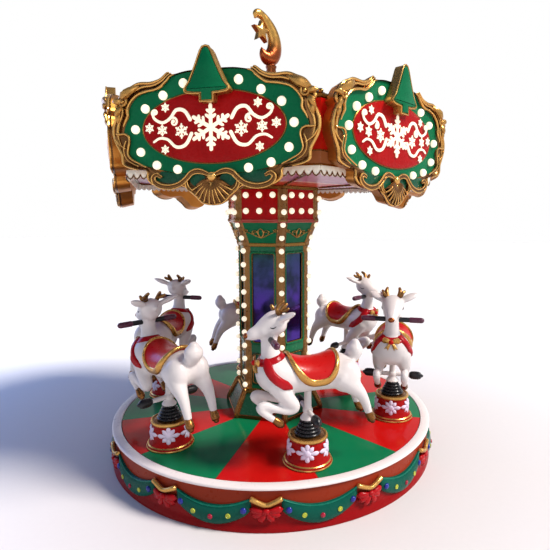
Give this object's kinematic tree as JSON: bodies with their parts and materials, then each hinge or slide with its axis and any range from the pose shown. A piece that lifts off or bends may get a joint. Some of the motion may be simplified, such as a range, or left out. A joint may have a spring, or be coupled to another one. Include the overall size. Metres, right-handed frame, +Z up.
{
  "type": "fairground carousel",
  "caption": "Small fairground carousel: turning deck with reindeer mounts that rise and fall, a mirrored column and a canopy with signs.",
  "frame": {"origin": "centre of the base on the ground", "axes": "+Z up along the axis of rotation, -Y to the front, where one sign faces"},
  "size_m": [2.4728, 2.4226, 3.1974],
  "materials": {
    "base_skirt": "gloss red paint",
    "base_rim": "white moulding",
    "base_frame": "black paint",
    "garland": "green moulding with painted ornaments and bows",
    "deck": "red and green wedges",
    "column_plinth": "green panels with gold edges",
    "column_mirrors": "mirror panels",
    "column_frame": "green with gold corner strips",
    "column_capital": "red band over a green flare, gold trims",
    "canopy_ceiling": "pink",
    "canopy_drum": "gloss red with a gold lower band",
    "canopy_roof": "gloss red",
    "finial": "gold",
    "sign_1": "green ring, red oval and gold scrolls",
    "sign_2": "green ring, red oval and gold scrolls",
    "sign_3": "green ring, red oval and gold scrolls",
    "sign_4": "green ring, red oval and gold scrolls",
    "sign_5": "green ring, red oval and gold scrolls",
    "sign_6": "green ring, red oval and gold scrolls",
    "pedestal_1": "red with gold rims and white flowers",
    "pedestal_2": "red with gold rims and white flowers",
    "pedestal_3": "red with gold rims and white flowers",
    "pedestal_4": "red with gold rims and white flowers",
    "pedestal_5": "red with gold rims and white flowers",
    "pedestal_6": "red with gold rims and white flowers",
    "bellows_1": "black",
    "bellows_2": "black",
    "bellows_3": "black",
    "bellows_4": "black",
    "bellows_5": "black",
    "bellows_6": "black",
    "reindeer_1": "white with gold antlers and hooves",
    "saddle_1": "red with a gold edge",
    "handlebar_1": "black grips",
    "lift_post_1": "white with black foot pegs",
    "reindeer_2": "white with gold antlers and hooves",
    "saddle_2": "red with a gold edge",
    "handlebar_2": "black grips",
    "lift_post_2": "white with black foot pegs",
    "reindeer_3": "white with gold antlers and hooves",
    "saddle_3": "red with a gold edge",
    "handlebar_3": "black grips",
    "lift_post_3": "white with black foot pegs",
    "reindeer_4": "white with gold antlers and hooves",
    "saddle_4": "red with a gold edge",
    "handlebar_4": "black grips",
    "lift_post_4": "white with black foot pegs",
    "reindeer_5": "white with gold antlers and hooves",
    "saddle_5": "red with a gold edge",
    "handlebar_5": "black grips",
    "lift_post_5": "white with black foot pegs",
    "reindeer_6": "white with gold antlers and hooves",
    "saddle_6": "red with a gold edge",
    "handlebar_6": "black grips",
    "lift_post_6": "white with black foot pegs"
  },
  "bodies": {
    "base": {"base_skirt": "base_skirt", "base_rim": "base_rim", "base_frame": "base_frame", "garland": "garland"},
    "turntable": {"deck": "deck", "column_plinth": "column_plinth", "column_mirrors": "column_mirrors", "column_frame": "column_frame", "column_capital": "column_capital", "canopy_ceiling": "canopy_ceiling", "canopy_drum": "canopy_drum", "canopy_roof": "canopy_roof", "finial": "finial", "sign_1": "sign_1", "sign_2": "sign_2", "sign_3": "sign_3", "sign_4": "sign_4", "sign_5": "sign_5", "sign_6": "sign_6", "pedestal_1": "pedestal_1", "pedestal_2": "pedestal_2", "pedestal_3": "pedestal_3", "pedestal_4": "pedestal_4", "pedestal_5": "pedestal_5", "pedestal_6": "pedestal_6", "bellows_1": "bellows_1", "bellows_2": "bellows_2", "bellows_3": "bellows_3", "bellows_4": "bellows_4", "bellows_5": "bellows_5", "bellows_6": "bellows_6"},
    "ride_1": {"reindeer_1": "reindeer_1", "saddle_1": "saddle_1", "handlebar_1": "handlebar_1", "lift_post_1": "lift_post_1"},
    "ride_2": {"reindeer_2": "reindeer_2", "saddle_2": "saddle_2", "handlebar_2": "handlebar_2", "lift_post_2": "lift_post_2"},
    "ride_3": {"reindeer_3": "reindeer_3", "saddle_3": "saddle_3", "handlebar_3": "handlebar_3", "lift_post_3": "lift_post_3"},
    "ride_4": {"reindeer_4": "reindeer_4", "saddle_4": "saddle_4", "handlebar_4": "handlebar_4", "lift_post_4": "lift_post_4"},
    "ride_5": {"reindeer_5": "reindeer_5", "saddle_5": "saddle_5", "handlebar_5": "handlebar_5", "lift_post_5": "lift_post_5"},
    "ride_6": {"reindeer_6": "reindeer_6", "saddle_6": "saddle_6", "handlebar_6": "handlebar_6", "lift_post_6": "lift_post_6"}
  },
  "joints": [
    {"name": "turntable_spin", "type": "hinge", "parent": "base", "child": "turntable", "pos_m": [0, 0, 0], "axis": [0, 0, 1], "continuous": true},
    {"name": "lift_1", "type": "slide", "parent": "turntable", "child": "ride_1", "axis": [0, 0, 1], "range_m": [-0.035, 0.035], "deforming": ["bellows_1"]},
    {"name": "lift_2", "type": "slide", "parent": "turntable", "child": "ride_2", "axis": [0, 0, 1], "range_m": [-0.035, 0.035], "deforming": ["bellows_2"]},
    {"name": "lift_3", "type": "slide", "parent": "turntable", "child": "ride_3", "axis": [0, 0, 1], "range_m": [-0.035, 0.035], "deforming": ["bellows_3"]},
    {"name": "lift_4", "type": "slide", "parent": "turntable", "child": "ride_4", "axis": [0, 0, 1], "range_m": [-0.035, 0.035], "deforming": ["bellows_4"]},
    {"name": "lift_5", "type": "slide", "parent": "turntable", "child": "ride_5", "axis": [0, 0, 1], "range_m": [-0.035, 0.035], "deforming": ["bellows_5"]},
    {"name": "lift_6", "type": "slide", "parent": "turntable", "child": "ride_6", "axis": [0, 0, 1], "range_m": [-0.035, 0.035], "deforming": ["bellows_6"]}
  ]
}
